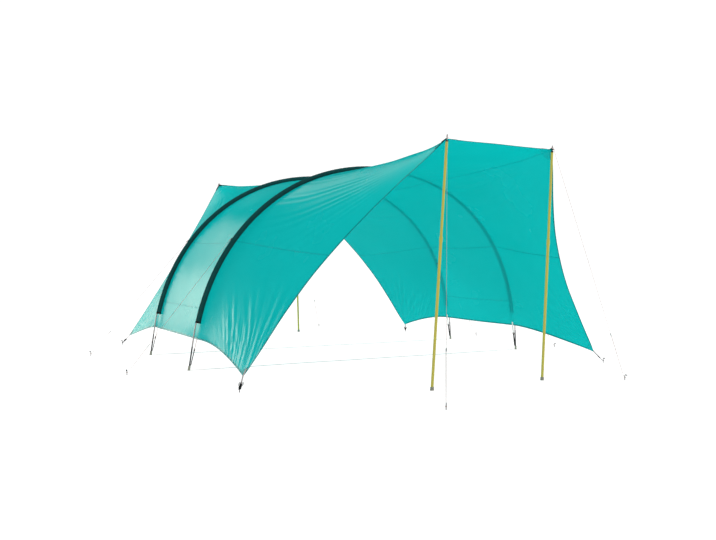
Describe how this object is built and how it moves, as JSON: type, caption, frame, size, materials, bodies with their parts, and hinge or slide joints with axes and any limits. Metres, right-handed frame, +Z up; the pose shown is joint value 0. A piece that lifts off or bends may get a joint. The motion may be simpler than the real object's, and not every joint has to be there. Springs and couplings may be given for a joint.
{
  "type": "tarp tent",
  "caption": "Open tarp tent: a cloth tunnel on curved arch poles, with a porch wing stretched to upright poles at each end, held by guylines and pegs.",
  "frame": {"origin": "on the ground under the tent, the bounding box's bottom centre", "axes": "+X along the tunnel towards the front porch, +Y across it to the right side, +Z up"},
  "size_m": [7.5428, 6.134, 2.442],
  "materials": {
    "canopy_cloth": "teal coated polyester, fine plain weave, soft sheen, thin enough to glow in the sun",
    "sleeve_cloth": "dark teal heavier polyester, matt",
    "upright_paint": "golden yellow powder coat, satin, with a black rubber foot",
    "arch_pole_metal": "pale anodised tube, satin, dark on its two foot sections",
    "black_webbing": "black woven webbing, stitched",
    "pale_webbing": "pale, faintly pink grey woven webbing",
    "guyline_cord": "reddish brown braided cord with a pale tracer and a grey runner",
    "peg_steel": "grey zinc-plated steel wire"
  },
  "bodies": {
    "root": {"centre_left_wall": "canopy_cloth", "centre_right_wall": "canopy_cloth", "centre_roof_panel": "canopy_cloth", "front_arch_pole": "arch_pole_metal", "front_arch_sleeve": "sleeve_cloth", "front_base_strap": "pale_webbing", "front_left_corner_peg": "peg_steel", "front_left_corner_strap": "black_webbing", "front_left_guy_peg": "peg_steel", "front_left_guyline": "guyline_cord", "front_left_peak_tab": "black_webbing", "front_left_pole": "upright_paint", "front_left_side_line": "guyline_cord", "front_left_side_peg": "peg_steel", "front_left_wall": "canopy_cloth", "front_right_corner_peg": "peg_steel", "front_right_corner_strap": "black_webbing", "front_right_guy_peg": "peg_steel", "front_right_guyline": "guyline_cord", "front_right_peak_tab": "black_webbing", "front_right_pole": "upright_paint", "front_right_side_line": "guyline_cord", "front_right_side_peg": "peg_steel", "front_right_wall": "canopy_cloth", "front_roof_panel": "canopy_cloth", "rear_arch_pole": "arch_pole_metal", "rear_arch_sleeve": "sleeve_cloth", "rear_base_strap": "pale_webbing", "rear_left_corner_peg": "peg_steel", "rear_left_corner_strap": "black_webbing", "rear_left_guy_peg": "peg_steel", "rear_left_guyline": "guyline_cord", "rear_left_peak_tab": "black_webbing", "rear_left_pole": "upright_paint", "rear_left_side_line": "guyline_cord", "rear_left_side_peg": "peg_steel", "rear_left_wall": "canopy_cloth", "rear_right_corner_peg": "peg_steel", "rear_right_corner_strap": "black_webbing", "rear_right_guy_peg": "peg_steel", "rear_right_guyline": "guyline_cord", "rear_right_peak_tab": "black_webbing", "rear_right_pole": "upright_paint", "rear_right_side_line": "guyline_cord", "rear_right_side_peg": "peg_steel", "rear_right_wall": "canopy_cloth", "rear_roof_panel": "canopy_cloth"}
  },
  "joints": []
}
